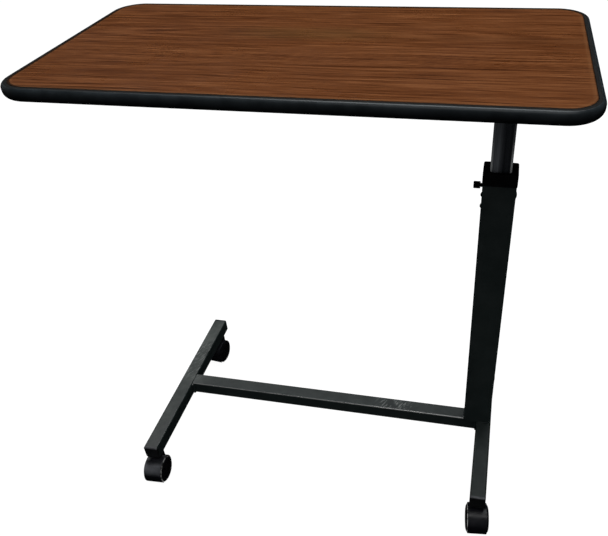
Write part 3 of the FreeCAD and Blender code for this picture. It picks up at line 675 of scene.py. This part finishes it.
def mast_weld():
    """Weld round the mast under its head plate."""
    low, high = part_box("inner_mast")
    z = high.z - WELD_SINK
    corners = [(low.x, low.y, z), (high.x, low.y, z), (high.x, high.y, z), (low.x, high.y, z),
               (low.x, low.y, z)]
    weld_bead("weld_mast_head", corners, radius=0.0022, body="worktop")


# Studio ---------------------------------------------------------------------------------------

FLOOR_SIZE = 50.0
BACKDROP_RADIUS = 24.0
WORLD_LIGHT = (0.97, 0.98, 1.0, 1.0)
WORLD_STRENGTH = 0.40
LIGHTS = (
    # name, position, size, watts, colour
    ("overhead", (0.05, 0.75, 2.9), (1.7, 1.3), 46.0, (0.94, 0.99, 1.0)),
    ("front_fill", (0.4, -0.9, 2.7), (1.6, 1.0), 8.0, (1.0, 1.0, 1.0)),
    ("rear_left", (-1.6, 1.7, 3.3), (1.3, 1.3), 13.0, (0.97, 0.98, 1.0)),
)
LIGHTS_AIM = Vector((TOP_CENTRE.x, TOP_CENTRE.y, 0.4))


def studio_paint(name, glow, paint):
    """Pale matt surface of the set, mostly self-lit so that shadows on it stay faint."""
    s = Shader(name, Specular_IOR_Level=0.0, Roughness=1.0, Emission_Strength=glow,
               Emission_Color=rgb(1.0, 1.0, 1.0))
    tone = s.noise(s.place, scale=1.3, detail=2.0)
    dark, light = shades((paint, paint, paint), 0.98, 1.0)
    return s.set(Base_Color=s.ramp(tone, (0.3, dark), (0.7, light))).material


def hide_from_light(thing):
    """Leave a piece of the set visible to the camera only, apart from shadows falling on it."""
    thing.visible_diffuse = False
    thing.visible_glossy = False


def studio_floor():
    bpy.ops.mesh.primitive_plane_add(size=FLOOR_SIZE, location=(TOP_CENTRE.x, TOP_CENTRE.y, 0.0))
    floor = bpy.context.object
    floor.name = "studio_floor"
    floor.data.materials.append(studio_paint("studio_floor", glow=0.97, paint=0.13))
    hide_from_light(floor)


def studio_backdrop():
    bpy.ops.mesh.primitive_uv_sphere_add(segments=64, ring_count=32, radius=BACKDROP_RADIUS,
                                         location=(0.0, 0.0, 0.0))
    dome = bpy.context.object
    dome.name = "studio_backdrop"
    dome.data.materials.append(studio_paint("studio_backdrop", glow=1.0, paint=0.0))
    dome.visible_shadow = False
    hide_from_light(dome)


def soft_light(name, position, size, power, colour):
    data = bpy.data.lights.new(name, "AREA")
    data.shape = "RECTANGLE"
    data.size, data.size_y = size
    data.energy = power
    data.color = colour
    lamp = bpy.data.objects.new(name, data)
    bpy.context.scene.collection.objects.link(lamp)
    lamp.location = position
    lamp.rotation_euler = (LIGHTS_AIM - Vector(position)).to_track_quat("-Z", "Y").to_euler()


def studio_lights():
    """A dim even world, kept out of reflections, and three soft lights above the table."""
    world = bpy.data.worlds.new("studio")
    world.use_nodes = True
    background = world.node_tree.nodes["Background"]
    background.inputs["Color"].default_value = WORLD_LIGHT
    background.inputs["Strength"].default_value = WORLD_STRENGTH
    world.cycles_visibility.glossy = False
    bpy.context.scene.world = world
    for light in LIGHTS:
        soft_light(*light)


def photo_camera():
    """Camera placed from the worktop's centre, looking down on the table from its front right."""
    offset = Vector((0.2650, -0.8861, 0.3053))
    heading = math.radians(14.015)
    tilt = math.radians(37.650)
    roll = math.radians(3.430)
    data = bpy.data.cameras.new("photo_camera")
    data.sensor_width = 36.0
    data.lens = 39.19
    data.shift_x = -0.0835
    data.shift_y = 0.0117
    camera = bpy.data.objects.new("photo_camera", data)
    bpy.context.scene.collection.objects.link(camera)
    turn = (Matrix.Rotation(heading, 4, "Z") @ Matrix.Rotation(math.pi / 2 - tilt, 4, "X")
            @ Matrix.Rotation(-roll, 4, "Z"))
    camera.matrix_world = Matrix.Translation(TOP_CENTRE + offset) @ turn
    bpy.context.scene.camera = camera


bpy.context.scene.view_settings.view_transform = "Standard"
photo_camera()
paint_nodes()
bar_welds()
column_welds()
mast_weld()
studio_floor()
studio_backdrop()
studio_lights()
